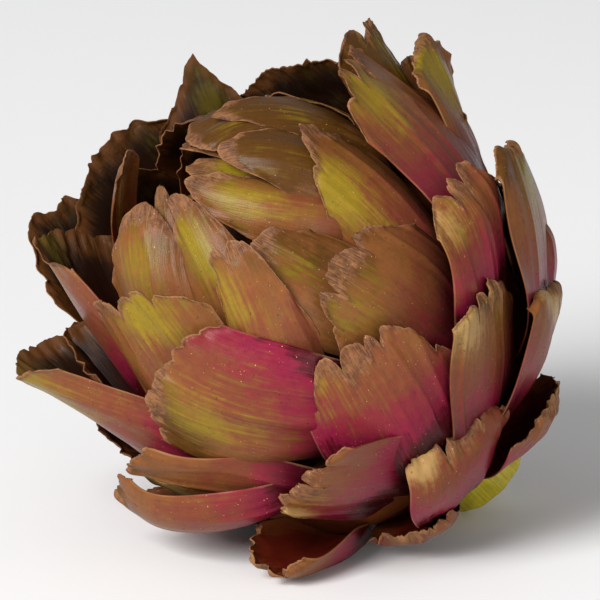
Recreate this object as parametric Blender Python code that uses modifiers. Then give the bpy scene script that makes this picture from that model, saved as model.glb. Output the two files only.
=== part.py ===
"""One artichoke head with its short cut stem, lying on its side.

The head is a fleshy body with bracts growing out of it in overlapping rings: narrow ones closed over
the tip, broad cupped ones round the middle, open ones outside them, and a spread ring at the base.
It grew as one piece, so the bracts are fused to the body. The stem is a piece of its own.

The numbers of the head are in millimetres and degrees on the head's own axes: height runs from the
base to the tip, radius goes out from that line, and azimuth goes round it.
"""

import math

import bmesh
import bpy
import numpy as np
from mathutils import Matrix, Vector

MM = 0.001

# How the head lies: it leans from upright towards a heading, after a turn about its own line.
LEAN = 44.6
HEADING = 204.4
TURN = 83.8
# Height of the head's centre over the surface, and its place from the middle of the outline.
LIFT = 49.7
OFFSET = (0.0, -0.8)

# Fleshy body, as radius and height from the tip down to the base.
BODY = ((0, 36), (9, 34), (17, 30), (25, 23), (32, 12), (37, 0), (40, -12), (39, -24), (34, -36), (24, -45),
        (0, -47))
BODY_SIDES = 12
# Cut stem, as radius and height from the head down to the cut.
STEM = ((0, -47.3), (10.4, -47.3), (10.8, -53), (11, -61), (10, -62.5), (0, -62.5))
STEM_SIDES = 40
# The stem stands a little off the head's line, towards azimuth 90.
STEM_SHIFT = 1.6

THICKNESS = 1.3
# Length of the handles of a midrib's curve as a share of the distance between its ends.
HANDLE = 0.38
# How far below its root a bract goes on into the body, as a share of its length.
SUNK = 0.15
# Share of the way at which a blade reaches its full width, and at which a hooded tip starts to bend.
FULL_WIDTH_AT = 0.6
HOOD_FROM = 0.7
# Softness of a keel's ridge as a share of the half width, and waves along a blade's side.
KEEL_SOFTNESS = 0.14
WAVES = 1.4
# Steps across a tip between one tear and the next, and the seed of the first bract's tears.
RAG_STEPS = 8
FIRST_SEED = 100
SMALL_STEP = 0.001

# Faces across and along a blade that its neighbours hide.
COARSE = (4, 3)
# What the bracts of one ring have in common.
#   root, tip    radius and height of the midrib's two ends
#   leaves       climb of the midrib at the root: 90 is straight up, 0 straight out
#   arrives      climb of the midrib at the tip: over 90 it leans in over the bud
#   width, cup   half the width along the blade, and half the angle that it wraps
#   narrow       width at the root as a share of the full width
#   keel         height of the fold along the midrib as a share of the half width
#   shoulders    where the tip's edge meets the two sides, as shares of the length
#   flat, point  share of the tip that is cut off square, and how blunt the rest is
#   hood         how far the tip bends in
#   ripple, rag  height of the waves along the sides, and depth of the tears in the tip
#   twist        turn of the tip about the midrib
#   cells        faces across and along the blade
INNER = dict(root=(24, 4), tip=(8, 40), leaves=75, arrives=150, width=9, cup=42, narrow=0.7, keel=0.1,
             shoulders=(0.5, 0.5), flat=0, point=1.3, hood=0, ripple=0.3, rag=0.8, twist=0, cells=(4, 3))
MIDDLE = dict(root=(36, -14), tip=(29, 32), leaves=70, arrives=130, width=13, cup=42, narrow=0.6, keel=0.04,
              shoulders=(0.55, 0.55), flat=0, point=1.3, hood=0, ripple=0.5, rag=1.6, twist=0, cells=(6, 4))
OUTER = dict(root=(36, -28), tip=(48, 14), leaves=50, arrives=100, width=16, cup=40, narrow=0.5, keel=0,
             shoulders=(0.65, 0.65), flat=0, point=1.8, hood=0, ripple=0.8, rag=2.2, twist=0, cells=(6, 4))
LOWEST = dict(root=(30, -40), tip=(52, -14), leaves=20, arrives=90, width=13, cup=45, narrow=0.5, keel=0,
              shoulders=(0.65, 0.65), flat=0, point=2, hood=3, ripple=1, rag=2.2, twist=0, cells=(6, 4))
COLLAR = dict(root=(13, -46.5), tip=(30, -41.5), leaves=0, arrives=40, width=11, cup=30, narrow=0.6, keel=0,
              shoulders=(0.6, 0.6), flat=0, point=1.6, hood=0, ripple=0, rag=1, twist=0, cells=(4, 2))

# One entry for each bract: its azimuth at the root and at the tip, and what sets it apart.
INNER_BRACTS = (
    dict(azimuths=(-50, -55), tip=(1.5, 40), root=(20, 17), width=6, point=2),
    dict(azimuths=(-56, -62), tip=(6.8, 40.8), root=(27, 4), width=14.4, narrow=0.8, leaves=74,
         arrives=159, twist=-20),
    dict(azimuths=(-31, -10), tip=(6.6, 39.5), root=(29, 1), width=9.5, narrow=0.8, leaves=70, arrives=155,
         cup=41, twist=6),
    dict(azimuths=(49, 16), tip=(8.3, 40), root=(31, 3), width=9.6, leaves=66, arrives=144, cup=58,
         twist=9),
    dict(azimuths=(58, 50), tip=(6, 40), width=10),
    dict(azimuths=(40, 88), tip=(6, 41), root=(19, 18), width=4),
    dict(azimuths=(178, 115), tip=(8, 39.5), root=(26, 12), width=10),
    dict(azimuths=(89, 88), tip=(8.4, 40.6), root=(29, 3), width=10.2, shoulders=(0.8, 0.8), point=2.5,
         leaves=73, arrives=187, cup=25, twist=5),
    dict(azimuths=(53, 55), tip=(13.3, 38.3), root=(31.5, 0), width=9.2, shoulders=(0.6, 0.7), point=1.6,
         leaves=65, arrives=163, cup=37, twist=17),
    dict(azimuths=(76, 88), tip=(15.3, 42.3), root=(31, 0), width=9.7, leaves=52, arrives=151, cup=32,
         twist=20),
    dict(azimuths=(150, 154), tip=(19, 38), root=(27, 6), width=11, shoulders=(0.85, 0.85), point=3),
    dict(azimuths=(-134, -170), tip=(13, 43), root=(31, 8), width=7, shoulders=(0.8, 0.8), point=2.5),
    dict(azimuths=(-168, -168), tip=(22, 35), root=(30, 2), width=12),
)
MIDDLE_BRACTS = (
    dict(azimuths=(29, 63), tip=(29.3, 33.5), shoulders=(0.6, 0.7), leaves=67, arrives=106, width=14,
         cup=57, twist=10, root=(38, -14)),
    dict(azimuths=(-27, -2), tip=(27.7, 34.9), root=(36.5, -8), width=10, shoulders=(0.55, 0.5), flat=0.3,
         leaves=62, arrives=139, cup=42, twist=12),
    dict(azimuths=(17, 5), tip=(27.9, 29.3), root=(38, -8), width=12, shoulders=(0.75, 0.75), flat=0.3,
         point=1.5, leaves=72, arrives=138, cup=39, twist=-17),
    dict(azimuths=(24, 15), tip=(40.5, 21), root=(38, -22), arrives=125, width=18, shoulders=(0.6, 0.6),
         flat=0.35, point=1.4),
    dict(azimuths=(-43, -58), tip=(28.9, 38.2), root=(39, -7), width=18.7, shoulders=(0.85, 0.75),
         flat=0.3, point=2, leaves=69, arrives=106, cup=42, twist=7),
    dict(azimuths=(112, 112), tip=(28, 31), width=14, cells=COARSE),
    dict(azimuths=(160, 160), tip=(28, 29), width=14, cells=COARSE),
    dict(azimuths=(-152, -152), tip=(28, 28), cells=COARSE),
)
OUTER_BRACTS = (
    dict(azimuths=(0, -47), tip=(40.2, 26.4), root=(36, -20), arrives=117, width=16.2,
         shoulders=(0.85, 0.85), flat=0.3, point=2, leaves=54, cup=36, twist=-5),
    dict(azimuths=(-13, 3), tip=(45.9, 9.6), root=(35, -34), arrives=113, width=17, shoulders=(0.75, 0.7),
         flat=0.3, leaves=36, cup=36, twist=8),
    dict(azimuths=(-46, -112), tip=(50, 27.1), root=(39, -16), leaves=56, arrives=60, width=20, cup=71,
         shoulders=(0.9, 0.75), point=2, twist=15),
    dict(azimuths=(-74, -145), tip=(39.4, 36.1), root=(36, -1), leaves=90, arrives=66, width=19, cup=60,
         shoulders=(0.9, 0.7), point=2, twist=-14),
    dict(azimuths=(-172, -172.5), tip=(46, 33.5), leaves=65, arrives=85, width=20, shoulders=(0.85, 0.85),
         point=3, cells=COARSE),
    dict(azimuths=(-136, -150), tip=(47, 36), leaves=65, arrives=85, width=15, shoulders=(0.8, 0.8),
         point=2.5, cells=COARSE),
    dict(azimuths=(172, 149), tip=(45.1, 36.4), leaves=79, arrives=60, width=14, cup=25,
         shoulders=(0.55, 0.8), point=1.3, twist=4, root=(35, -29)),
    dict(azimuths=(126, 132), tip=(41, 26), leaves=80, arrives=105, width=22, cup=15, shoulders=(0.9, 0.9),
         point=3, cells=COARSE),
    dict(azimuths=(85, 112), tip=(57.9, 21.2), root=(38, -23), leaves=58, arrives=58, width=23,
         shoulders=(0.85, 0.85), flat=0.3, point=2, cup=66, twist=33),
    dict(azimuths=(50, 84), tip=(43.5, 32.6), root=(39, -20), arrives=96, shoulders=(0.75, 0.85), flat=0.4,
         point=2, leaves=48, width=17.7, cup=26, twist=10),
    dict(azimuths=(88, 101), tip=(59.5, 12.6), root=(40, -24), leaves=62, arrives=68, width=17.3,
         shoulders=(0.8, 0.8), flat=0.3, point=2, twist=38, cup=20),
    dict(azimuths=(28, 52), tip=(52.1, 12.6), root=(36, -29), width=13.5, hood=3, shoulders=(0.75, 0.75),
         flat=0.3, point=2, leaves=53, arrives=111, cup=36, twist=4),
    dict(azimuths=(43, 72), tip=(57.5, -2.4), root=(37, -33), leaves=31, arrives=71, width=15.4,
         shoulders=(0.85, 0.9), flat=0.4, point=3, cup=16, twist=5),
    dict(azimuths=(7, 36), tip=(51.9, -7.2), root=(33, -38), width=14.5, shoulders=(0.85, 0.8), point=2.4,
         leaves=38, arrives=71, cup=18, twist=-12),
    dict(azimuths=(17, 60), tip=(48.8, -27.3), root=(32, -39), leaves=27, arrives=67, width=15.7,
         shoulders=(0.7, 0.7), flat=0.2, point=2, cup=34, twist=5),
    dict(azimuths=(-96, -118), tip=(41, 24.5), root=(36, -14), leaves=70, arrives=90, width=14,
         cells=COARSE),
)
LOWEST_BRACTS = (
    dict(azimuths=(-31, -78), tip=(51.2, 4), root=(33, -22), width=17.2, shoulders=(0.85, 0.85), point=3,
         leaves=8, arrives=61, cup=44, twist=0),
    dict(azimuths=(-33, -82), tip=(55.5, 10.4), root=(33, -25), width=12, shoulders=(0.85, 0.85), point=3,
         twist=6, leaves=36, arrives=112, cup=55),
    dict(azimuths=(-5, -31), tip=(55.2, -7.1), shoulders=(0.85, 0.85), point=2.6, leaves=29, arrives=53,
         width=14.5, cup=15, twist=-1, root=(28, -37)),
    dict(azimuths=(-52, -52), tip=(57.6, -19.1), root=(27, -40), leaves=-3, arrives=47, width=12.6, hood=2,
         shoulders=(0.85, 0.85), point=3, twist=41, cup=89),
    dict(azimuths=(-28, -27), tip=(44, -37.7), root=(20, -45), leaves=4, arrives=54, width=10.5,
         shoulders=(0.85, 0.85), point=3, twist=21, cup=49),
    dict(azimuths=(-14, 6), tip=(47, -23), root=(24, -46), leaves=10, arrives=100, width=14, cup=30,
         shoulders=(0.85, 0.85), point=3, twist=-10),
    dict(azimuths=(12, 34), tip=(45.3, -39.5), root=(18, -46), leaves=1, arrives=52, shoulders=(0.7, 0.7),
         width=13.9, cup=42, twist=0),
)
# The side of the head away from the bracts above carries two rings of plain ones. Each of the two
# rings, and the collar of small bracts round the stem, has one azimuth for each tip, and a root that
# lags behind it.
BACK_LOWEST = (78, 104, 130, 156, 182, 210)
BACK_LOWEST_LAG = 14
BACK_LOWEST_TIP = (50, -19)
BACK_OUTER = (106, 139, 172, 206, 242)
BACK_OUTER_LAG = 6
BACK_OUTER_TIP = (52, 4)
COLLAR_BRACTS = (50, 100, 150, 200, 310)
COLLAR_LAG = 20
# Two lowest bracts under the head: it lies on the edge of the first.
UNDER_BRACTS = (
    dict(azimuths=(-118, -132), tip=(53, -23)),
    dict(azimuths=(-86, -94), tip=(46, -8), root=(32, -34), leaves=30, cells=COARSE),
)


def all_bracts():
    """Every bract of the head as a dictionary, ring by ring."""
    bracts = []
    for ring, members in ((INNER, INNER_BRACTS), (MIDDLE, MIDDLE_BRACTS), (OUTER, OUTER_BRACTS),
                          (LOWEST, LOWEST_BRACTS)):
        bracts += [{**ring, **own} for own in members]
    for azimuth in BACK_LOWEST:
        own = dict(azimuths=(azimuth - BACK_LOWEST_LAG, azimuth), tip=BACK_LOWEST_TIP, cells=COARSE)
        bracts.append({**LOWEST, **own})
    for own in UNDER_BRACTS:
        bracts.append({**LOWEST, **own})
    for azimuth in BACK_OUTER:
        own = dict(azimuths=(azimuth - BACK_OUTER_LAG, azimuth), tip=BACK_OUTER_TIP, cells=COARSE)
        bracts.append({**OUTER, **own})
    for azimuth in COLLAR_BRACTS:
        bracts.append({**COLLAR, "azimuths": (azimuth - COLLAR_LAG, azimuth)})
    return bracts


def unit(vectors):
    """Rows of an array of vectors, each brought to length one."""
    return vectors / np.linalg.norm(vectors, axis=-1, keepdims=True)


def midrib(bract, along):
    """Points of a bract's midrib and their azimuths: a cubic curve in radius and height, which
    leaves the body and reaches its tip at the two stated climbs, turning evenly from the root's
    azimuth to the tip's."""
    root, tip = np.array(bract["root"]), np.array(bract["tip"])
    reach = HANDLE * math.dist(root, tip)
    leaves, arrives = math.radians(bract["leaves"]), math.radians(bract["arrives"])
    near_root = root + reach * np.array((math.cos(leaves), math.sin(leaves)))
    near_tip = tip - reach * np.array((math.cos(arrives), math.sin(arrives)))
    shares = ((1 - along) ** 3, 3 * along * (1 - along) ** 2, 3 * along ** 2 * (1 - along), along ** 3)
    curve = sum(share[:, None] * place for share, place in zip(shares, (root, near_root, near_tip, tip)))
    radius, height = curve[:, 0], curve[:, 1]
    start, stop = np.radians(bract["azimuths"])
    azimuth = start + (stop - start) * along
    return np.stack([radius * np.cos(azimuth), radius * np.sin(azimuth), height], -1), azimuth


def tip_edge(bract, across, knots):
    """How far along the blade its tip lies at each place across it, from -1 to 1: a rounded point
    between two shoulders, less the tears, whose depths at even steps are the knots."""
    shoulder = np.where(across < 0, *bract["shoulders"])
    slope = np.clip((np.abs(across) - bract["flat"]) / (1 - bract["flat"]), 0, 1)
    length = math.dist(bract["root"], bract["tip"])
    tears = bract["rag"] / length * np.interp(across, np.linspace(-1, 1, len(knots)), knots)
    return shoulder + (1 - shoulder) * (1 - slope ** bract["point"]) - tears


def blade_points(bract, across, share, seed):
    """Points of the outer face of a bract in millimetres, for places from -1 to 1 across it and
    shares from 0 to 1 of the way from its sunken root to its torn tip.

    The blade is an arc, cupped round the midrib, which widens from the root on. It may be keeled
    along the midrib, waved at the sides, bent in at the tip and twisted."""
    random = np.random.default_rng(seed)
    knots = random.uniform(0, 1, RAG_STEPS + 1)
    knots[[0, -1]] = 0
    start, drift = random.uniform(0, 2 * math.pi, 2)
    along = -SUNK + (tip_edge(bract, across, knots) + SUNK) * share

    point, azimuth = midrib(bract, along)
    run = unit(midrib(bract, along + SMALL_STEP)[0] - midrib(bract, along - SMALL_STEP)[0])
    around = np.stack([-np.sin(azimuth), np.cos(azimuth), np.zeros_like(azimuth)], -1)
    side = unit(around - (around * run).sum(-1, keepdims=True) * run)
    out = np.cross(side, run)

    grown = np.sin(np.clip(along / FULL_WIDTH_AT, 0, 1) * math.pi / 2)
    half = bract["width"] * (bract["narrow"] + (1 - bract["narrow"]) * grown)
    cup = math.radians(bract["cup"])
    sideways = half * np.sin(cup * across) / cup
    outwards = -half * (1 - np.cos(cup * across)) / cup
    outwards -= bract["keel"] * half * (np.hypot(across, KEEL_SOFTNESS) - KEEL_SOFTNESS)
    outwards -= bract["hood"] * np.clip((along - HOOD_FROM) / (1 - HOOD_FROM), 0, 1) ** 2
    outwards += bract["ripple"] * across ** 2 * np.sin(2 * math.pi * WAVES * along + start + across * drift)
    twist = np.radians(bract["twist"]) * along
    turned_sideways = sideways * np.cos(twist) - outwards * np.sin(twist)
    turned_outwards = sideways * np.sin(twist) + outwards * np.cos(twist)
    return point + turned_sideways[:, None] * side + turned_outwards[:, None] * out


def link(name, mesh, collection):
    """A new object of a mesh in a collection."""
    made = bpy.data.objects.new(name, mesh)
    collection.objects.link(made)
    return made


def add_blade(number, bract, collection):
    """One bract as a thin closed blade. Its faces are split into triangles first, so that they
    are alike on both sides."""
    cells_across, cells_along = bract["cells"]
    shape = bmesh.new()
    bmesh.ops.create_grid(shape, x_segments=cells_across, y_segments=cells_along, size=1)
    bmesh.ops.triangulate(shape, faces=shape.faces)
    flat = np.array([vert.co for vert in shape.verts])
    points = blade_points(bract, flat[:, 0], (flat[:, 1] + 1) / 2, FIRST_SEED + number) * MM
    for vert, place in zip(shape.verts, points):
        vert.co = place
    name = "bract_%02d" % number
    mesh = bpy.data.meshes.new(name)
    shape.to_mesh(mesh)
    shape.free()
    blade = link(name, mesh, collection)
    shell = blade.modifiers.new("thickness", "SOLIDIFY")
    shell.thickness = THICKNESS * MM
    shell.offset = -1
    return blade


def add_turned(name, profile, sides, collection):
    """A round body turned from a profile of radius and height that runs from top to bottom."""
    mesh = bpy.data.meshes.new(name)
    verts = [(radius * MM, 0, height * MM) for radius, height in profile]
    mesh.from_pydata(verts, [(i, i + 1) for i in range(len(verts) - 1)], [])
    body = link(name, mesh, collection)
    turn = body.modifiers.new("turn", "SCREW")
    turn.steps = sides
    turn.render_steps = sides
    turn.use_merge_vertices = True
    turn.merge_threshold = 0.0001
    turn.use_smooth_shade = False
    return body


def evaluated_mesh(subject):
    """A new mesh of an object with its modifiers applied."""
    graph = bpy.context.evaluated_depsgraph_get()
    return bpy.data.meshes.new_from_object(subject.evaluated_get(graph))


def shells_of(shape):
    """The connected groups of faces of a mesh."""
    left = set(shape.faces)
    groups = []
    while left:
        group = {left.pop()}
        edge_of_group = list(group)
        while edge_of_group:
            face = edge_of_group.pop()
            near = {other for edge in face.edges for other in edge.link_faces} & left
            left -= near
            group |= near
            edge_of_group += near
        groups.append(group)
    return groups


def keep_largest_shell(mesh):
    """Drop every loose scrap of a mesh and the wall of every sealed hollow, which fills it."""
    shape = bmesh.new()
    shape.from_mesh(mesh)
    bmesh.ops.triangulate(shape, faces=shape.faces)
    groups = sorted(shells_of(shape), key=len)
    dropped = [face for group in groups[:-1] for face in group]
    bmesh.ops.delete(shape, geom=dropped, context="FACES")
    shape.to_mesh(mesh)
    shape.free()


def fuse(body, blades):
    """Join the blades to the body, replace its mesh by the result, and remove the blades."""
    union = body.modifiers.new("bracts", "BOOLEAN")
    union.operation = "UNION"
    union.operand_type = "COLLECTION"
    union.collection = blades
    union.solver = "EXACT"
    mesh = evaluated_mesh(body)
    keep_largest_shell(mesh)
    body.modifiers.clear()
    body.data = mesh
    for blade in list(blades.objects):
        bpy.data.objects.remove(blade, do_unlink=True)
    bpy.data.collections.remove(blades)


def add_surface_cutter(collection):
    """The space below the surface, which cuts the small flat spots that the part rests on."""
    size, depth = 400 * MM, 100 * MM
    shape = bmesh.new()
    bmesh.ops.create_cube(shape, size=1)
    bmesh.ops.scale(shape, vec=(size, size, depth), verts=shape.verts)
    bmesh.ops.translate(shape, vec=(0, 0, -depth / 2), verts=shape.verts)
    mesh = bpy.data.meshes.new("below_surface")
    shape.to_mesh(mesh)
    shape.free()
    cutter = link("below_surface", mesh, collection)
    cutter.display_type = "WIRE"
    cutter.hide_render = True
    return cutter


def flatten_where_it_rests(subject, cutter):
    """Cut off what would reach below the surface."""
    cut = subject.modifiers.new("rest", "BOOLEAN")
    cut.operation = "DIFFERENCE"
    cut.object = cutter
    cut.solver = "EXACT"


def paint(subject, name, colour, roughness):
    """Give an object a plain material."""
    material = bpy.data.materials.new(name)
    material.use_nodes = True
    shader = material.node_tree.nodes["Principled BSDF"]
    shader.inputs["Base Color"].default_value = (*colour, 1)
    shader.inputs["Roughness"].default_value = roughness
    shader.inputs["Metallic"].default_value = 0
    subject.data.materials.clear()
    subject.data.materials.append(material)


def lying_pose():
    """The matrix that takes the head's axes to where it lies."""
    turned = Matrix.Rotation(math.radians(TURN), 4, "Z")
    leaned = Matrix.Rotation(math.radians(LEAN), 4, "Y") @ turned
    headed = Matrix.Rotation(math.radians(HEADING), 4, "Z") @ leaned
    return Matrix.Translation(Vector((*OFFSET, LIFT)) * MM) @ headed


def main():
    """Build the artichoke in an empty scene."""
    for old in list(bpy.data.objects):
        bpy.data.objects.remove(old, do_unlink=True)
    scene = bpy.context.scene
    parts = bpy.data.collections.new("artichoke")
    helpers = bpy.data.collections.new("helpers")
    blades = bpy.data.collections.new("bracts")
    for collection in (parts, helpers, blades):
        scene.collection.children.link(collection)

    head = add_turned("head", BODY, BODY_SIDES, parts)
    for number, bract in enumerate(all_bracts()):
        add_blade(number, bract, blades)
    fuse(head, blades)
    paint(head, "bract", (0.32, 0.13, 0.07), 0.45)

    stem = add_turned("stem", STEM, STEM_SIDES, parts)
    paint(stem, "stem", (0.42, 0.40, 0.04), 0.5)
    stem.data.shade_smooth()
    stem.location = (0, STEM_SHIFT * MM, 0)

    pose = bpy.data.objects.new("pose", None)
    parts.objects.link(pose)
    pose.matrix_world = lying_pose()
    cutter = add_surface_cutter(helpers)
    for piece in (head, stem):
        piece.parent = pose
        flatten_where_it_rests(piece, cutter)


if __name__ == "__main__":
    main()
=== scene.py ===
# %% [markdown]
# # An artichoke head
# This lesson dresses a plain solid of an artichoke. The solid is already the right size and lies the
# right way round, so it comes in first, and every new surface is worked out in its millimetres.

# %% Load the solid that fixes the shape
import math

import bpy
import numpy as np
from mathutils import Matrix


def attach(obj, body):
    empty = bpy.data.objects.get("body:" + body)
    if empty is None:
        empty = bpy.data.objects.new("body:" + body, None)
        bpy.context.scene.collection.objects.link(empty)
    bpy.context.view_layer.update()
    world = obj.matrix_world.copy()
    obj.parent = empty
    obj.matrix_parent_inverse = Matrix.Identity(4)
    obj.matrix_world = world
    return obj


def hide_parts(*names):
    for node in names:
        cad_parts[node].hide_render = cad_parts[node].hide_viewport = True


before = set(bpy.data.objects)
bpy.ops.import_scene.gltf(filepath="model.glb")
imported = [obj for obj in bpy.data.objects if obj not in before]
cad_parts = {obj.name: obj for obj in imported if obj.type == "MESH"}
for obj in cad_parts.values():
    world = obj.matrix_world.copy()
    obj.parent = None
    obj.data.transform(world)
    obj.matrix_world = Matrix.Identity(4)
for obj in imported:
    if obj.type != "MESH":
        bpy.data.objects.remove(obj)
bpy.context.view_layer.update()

# %% [markdown]
# ## Where the head lies
# A head is easiest to describe standing up: height along the line from base to tip, a radius out from
# that line and an azimuth round it. Three turns and a shift then lay it down on its side. A single
# 3 by 3 matrix holds the turns, so whole arrays of points can be laid down at once.

# %% Axes of the head and how it lies
MM = 0.001
LEAN, HEADING, TURN = 44.6, 204.4, 83.8
LIFT = 49.7
OFFSET = (0.0, -0.8)


def turn_about_z(degrees):
    """A matrix that turns points about the upright axis."""
    c, s = math.cos(math.radians(degrees)), math.sin(math.radians(degrees))
    return np.array(((c, -s, 0), (s, c, 0), (0, 0, 1)))


def turn_about_y(degrees):
    """A matrix that leans points from the upright axis towards +X."""
    c, s = math.cos(math.radians(degrees)), math.sin(math.radians(degrees))
    return np.array(((c, 0, s), (0, 1, 0), (-s, 0, c)))


LYING = turn_about_z(HEADING) @ turn_about_y(LEAN) @ turn_about_z(TURN)


def lay_down(points):
    """Millimetres on the head's axes to metres where it lies. Nothing may reach below the surface
    that it lies on, so what would is flattened onto it."""
    laid = points @ LYING.T + np.array((*OFFSET, LIFT))
    laid[..., 2] = np.maximum(laid[..., 2], 0)
    return laid * MM


print("tip direction", LYING[:, 2].round(3))

# %% [markdown]
# ## The camera
# The photograph was taken from a little above the table, from far enough away that there is hardly any
# perspective. A long lens a metre away gives the same look. The camera comes first, because every
# later choice is judged through it.

# %% Camera at the photograph's viewing angle
def placed(sideways, upward, away, place):
    """The matrix of an object whose own three axes point these ways from a place."""
    return Matrix([[*axes, where] for axes, where in zip(np.stack([sideways, upward, away], -1), place)]
                  + [[0, 0, 0, 1]])


RAISED = math.radians(15.5)
DISTANCE = 1.0
MM_PER_PIXEL = 0.205
FRAME_PIXELS = 600
PIXELS_RIGHT, PIXELS_UP = 10, -2
SENSOR = 36.0
right = np.array((1.0, 0.0, 0.0))
up = np.array((0.0, math.sin(RAISED), math.cos(RAISED)))
back = np.array((0.0, -math.cos(RAISED), math.sin(RAISED)))
centre = np.array((*OFFSET, LIFT)) * MM
eye = centre + back * DISTANCE + (PIXELS_RIGHT * right + PIXELS_UP * up) * MM_PER_PIXEL * MM
lens = bpy.data.cameras.new("camera")
lens.sensor_width = SENSOR
lens.lens = SENSOR * DISTANCE / (FRAME_PIXELS * MM_PER_PIXEL * MM)
camera = bpy.data.objects.new("camera", lens)
bpy.context.scene.collection.objects.link(camera)
camera.matrix_world = placed(right, up, back, eye)
bpy.context.scene.camera = camera
print("lens", round(lens.lens, 1), "mm")

# %% [markdown]
# ## The bracts as a table
# What looks like petals are bracts: tough leaves that wrap the flower bud in rings. Those over the tip
# are narrow and closed, those at the base are wide, spread and torn. One entry in the table describes
# one bract. A ring gives what its bracts share, and an entry only says what is different. The keys down
# to ripple and rag shape the solid too. The others are finer things that only the visible surface has.

# %% What the bracts of each ring share
#   azimuths       directions round the bud, in degrees, of the midrib's two ends
#   root, tip      radius and height, in millimetres, of the midrib's two ends
#   leaves         climb of the midrib at the root: 90 is straight up, 0 straight out
#   arrives        climb of the midrib at the tip: over 90 it leans in over the bud
#   width, cup     half the width along the blade, and half the angle that it wraps
#   narrow, keel   width at the root as a share of the full one, and height of the midrib's fold
#   shoulders      where the tip's edge meets the two sides, as shares of the length
#   flat, point    share of the tip that is cut off square, and how blunt the rest is
#   hood, twist    how far the tip bends in, and its turn about the midrib
#   ripple, rag    height of the waves along the sides, and depth of the tears in the tip
#   cuts           splits in the tip's edge: place across, depth and width
#   lobes          depth of the valleys between the small lobes of the tip's edge
#   curl           length of the tip that rolls inward and the radius that it rolls round
#     ripe           how far the colour has run from dark crimson to brown at the root and at the tip;
#                    below 0.14 it runs on into near black, painted shade at the roots
#   blush          how much the colour changes from one side to the other
#   green          strength of the green patch and its place across and along
#   dry            length of the withered tip and its place across
#   lumps          height of the wrinkles of the withered tip
#   cream          strength of the cream patch and its place across and along
#   turned         1 where the blade shows its outer skin on both faces
#     shelter        how much redder the blade is where it lies close to the bud, and how much painted
#                    shade darkens it there
#     inside         how much riper the colour of the inner face is than that of the outer one; on the
#                    inner face riper means darker painted shade
#   cells          faces across and along: PLAIN is for bracts that hardly show
EVERY_RING = dict(flat=0, hood=0, twist=0, cuts=(), curl=(0, 3), blush=0, cream=(0, 0, 1), turned=0,
                  shelter=0, inside=0, cells=(80, 52))
INNER = dict(EVERY_RING, root=(24, 4), tip=(8, 40), leaves=75, arrives=150, width=9, cup=42, narrow=0.7,
             keel=0.1, shoulders=(0.5, 0.5), point=1.3, ripple=0.3, rag=0.8, lobes=0.3, ripe=(0.62, 0.95),
             green=(0.7, -0.1, 0.72), dry=(8, 0), lumps=0.3, cells=(44, 44))
MIDDLE = dict(EVERY_RING, root=(36, -14), tip=(29, 32), leaves=70, arrives=130, width=13, cup=42,
              narrow=0.6, keel=0.04, shoulders=(0.55, 0.55), point=1.3, ripple=0.5, rag=1.6, lobes=0.7,
              ripe=(0.3, 0.95), green=(0.7, -0.3, 0.8), dry=(6, 0), lumps=0.5, shelter=0.1)
OUTER = dict(EVERY_RING, root=(36, -28), tip=(48, 14), leaves=50, arrives=100, width=16, cup=40,
             narrow=0.5, keel=0, shoulders=(0.65, 0.65), point=1.8, ripple=0.8, rag=2.2, lobes=1.0,
             ripe=(0.1, 0.9), green=(0.4, -0.4, 0.85), dry=(6, 0), lumps=0.7, shelter=0.6)
LOWEST = dict(EVERY_RING, root=(30, -40), tip=(52, -14), leaves=20, arrives=90, width=13, cup=45,
              narrow=0.5, keel=0, shoulders=(0.65, 0.65), point=2, hood=3, ripple=1, rag=2.2, lobes=1.2,
              curl=(3, 2.5), ripe=(0.05, 0.85), green=(0.3, -0.3, 0.9), dry=(6, 0), lumps=0.9,
              cream=(0.8, 0, 1.02), shelter=0.6)
COLLAR = dict(EVERY_RING, root=(13, -46.5), tip=(30, -41.5), leaves=0, arrives=40, width=11, cup=30,
              narrow=0.6, keel=0, shoulders=(0.6, 0.6), point=1.6, ripple=0, rag=1, lobes=0.3,
              ripe=(0.1, 0.6), green=(0, 0, 0.9), dry=(3, 0), lumps=0.2, cells=(24, 18))
PLAIN = (40, 30)

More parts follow.
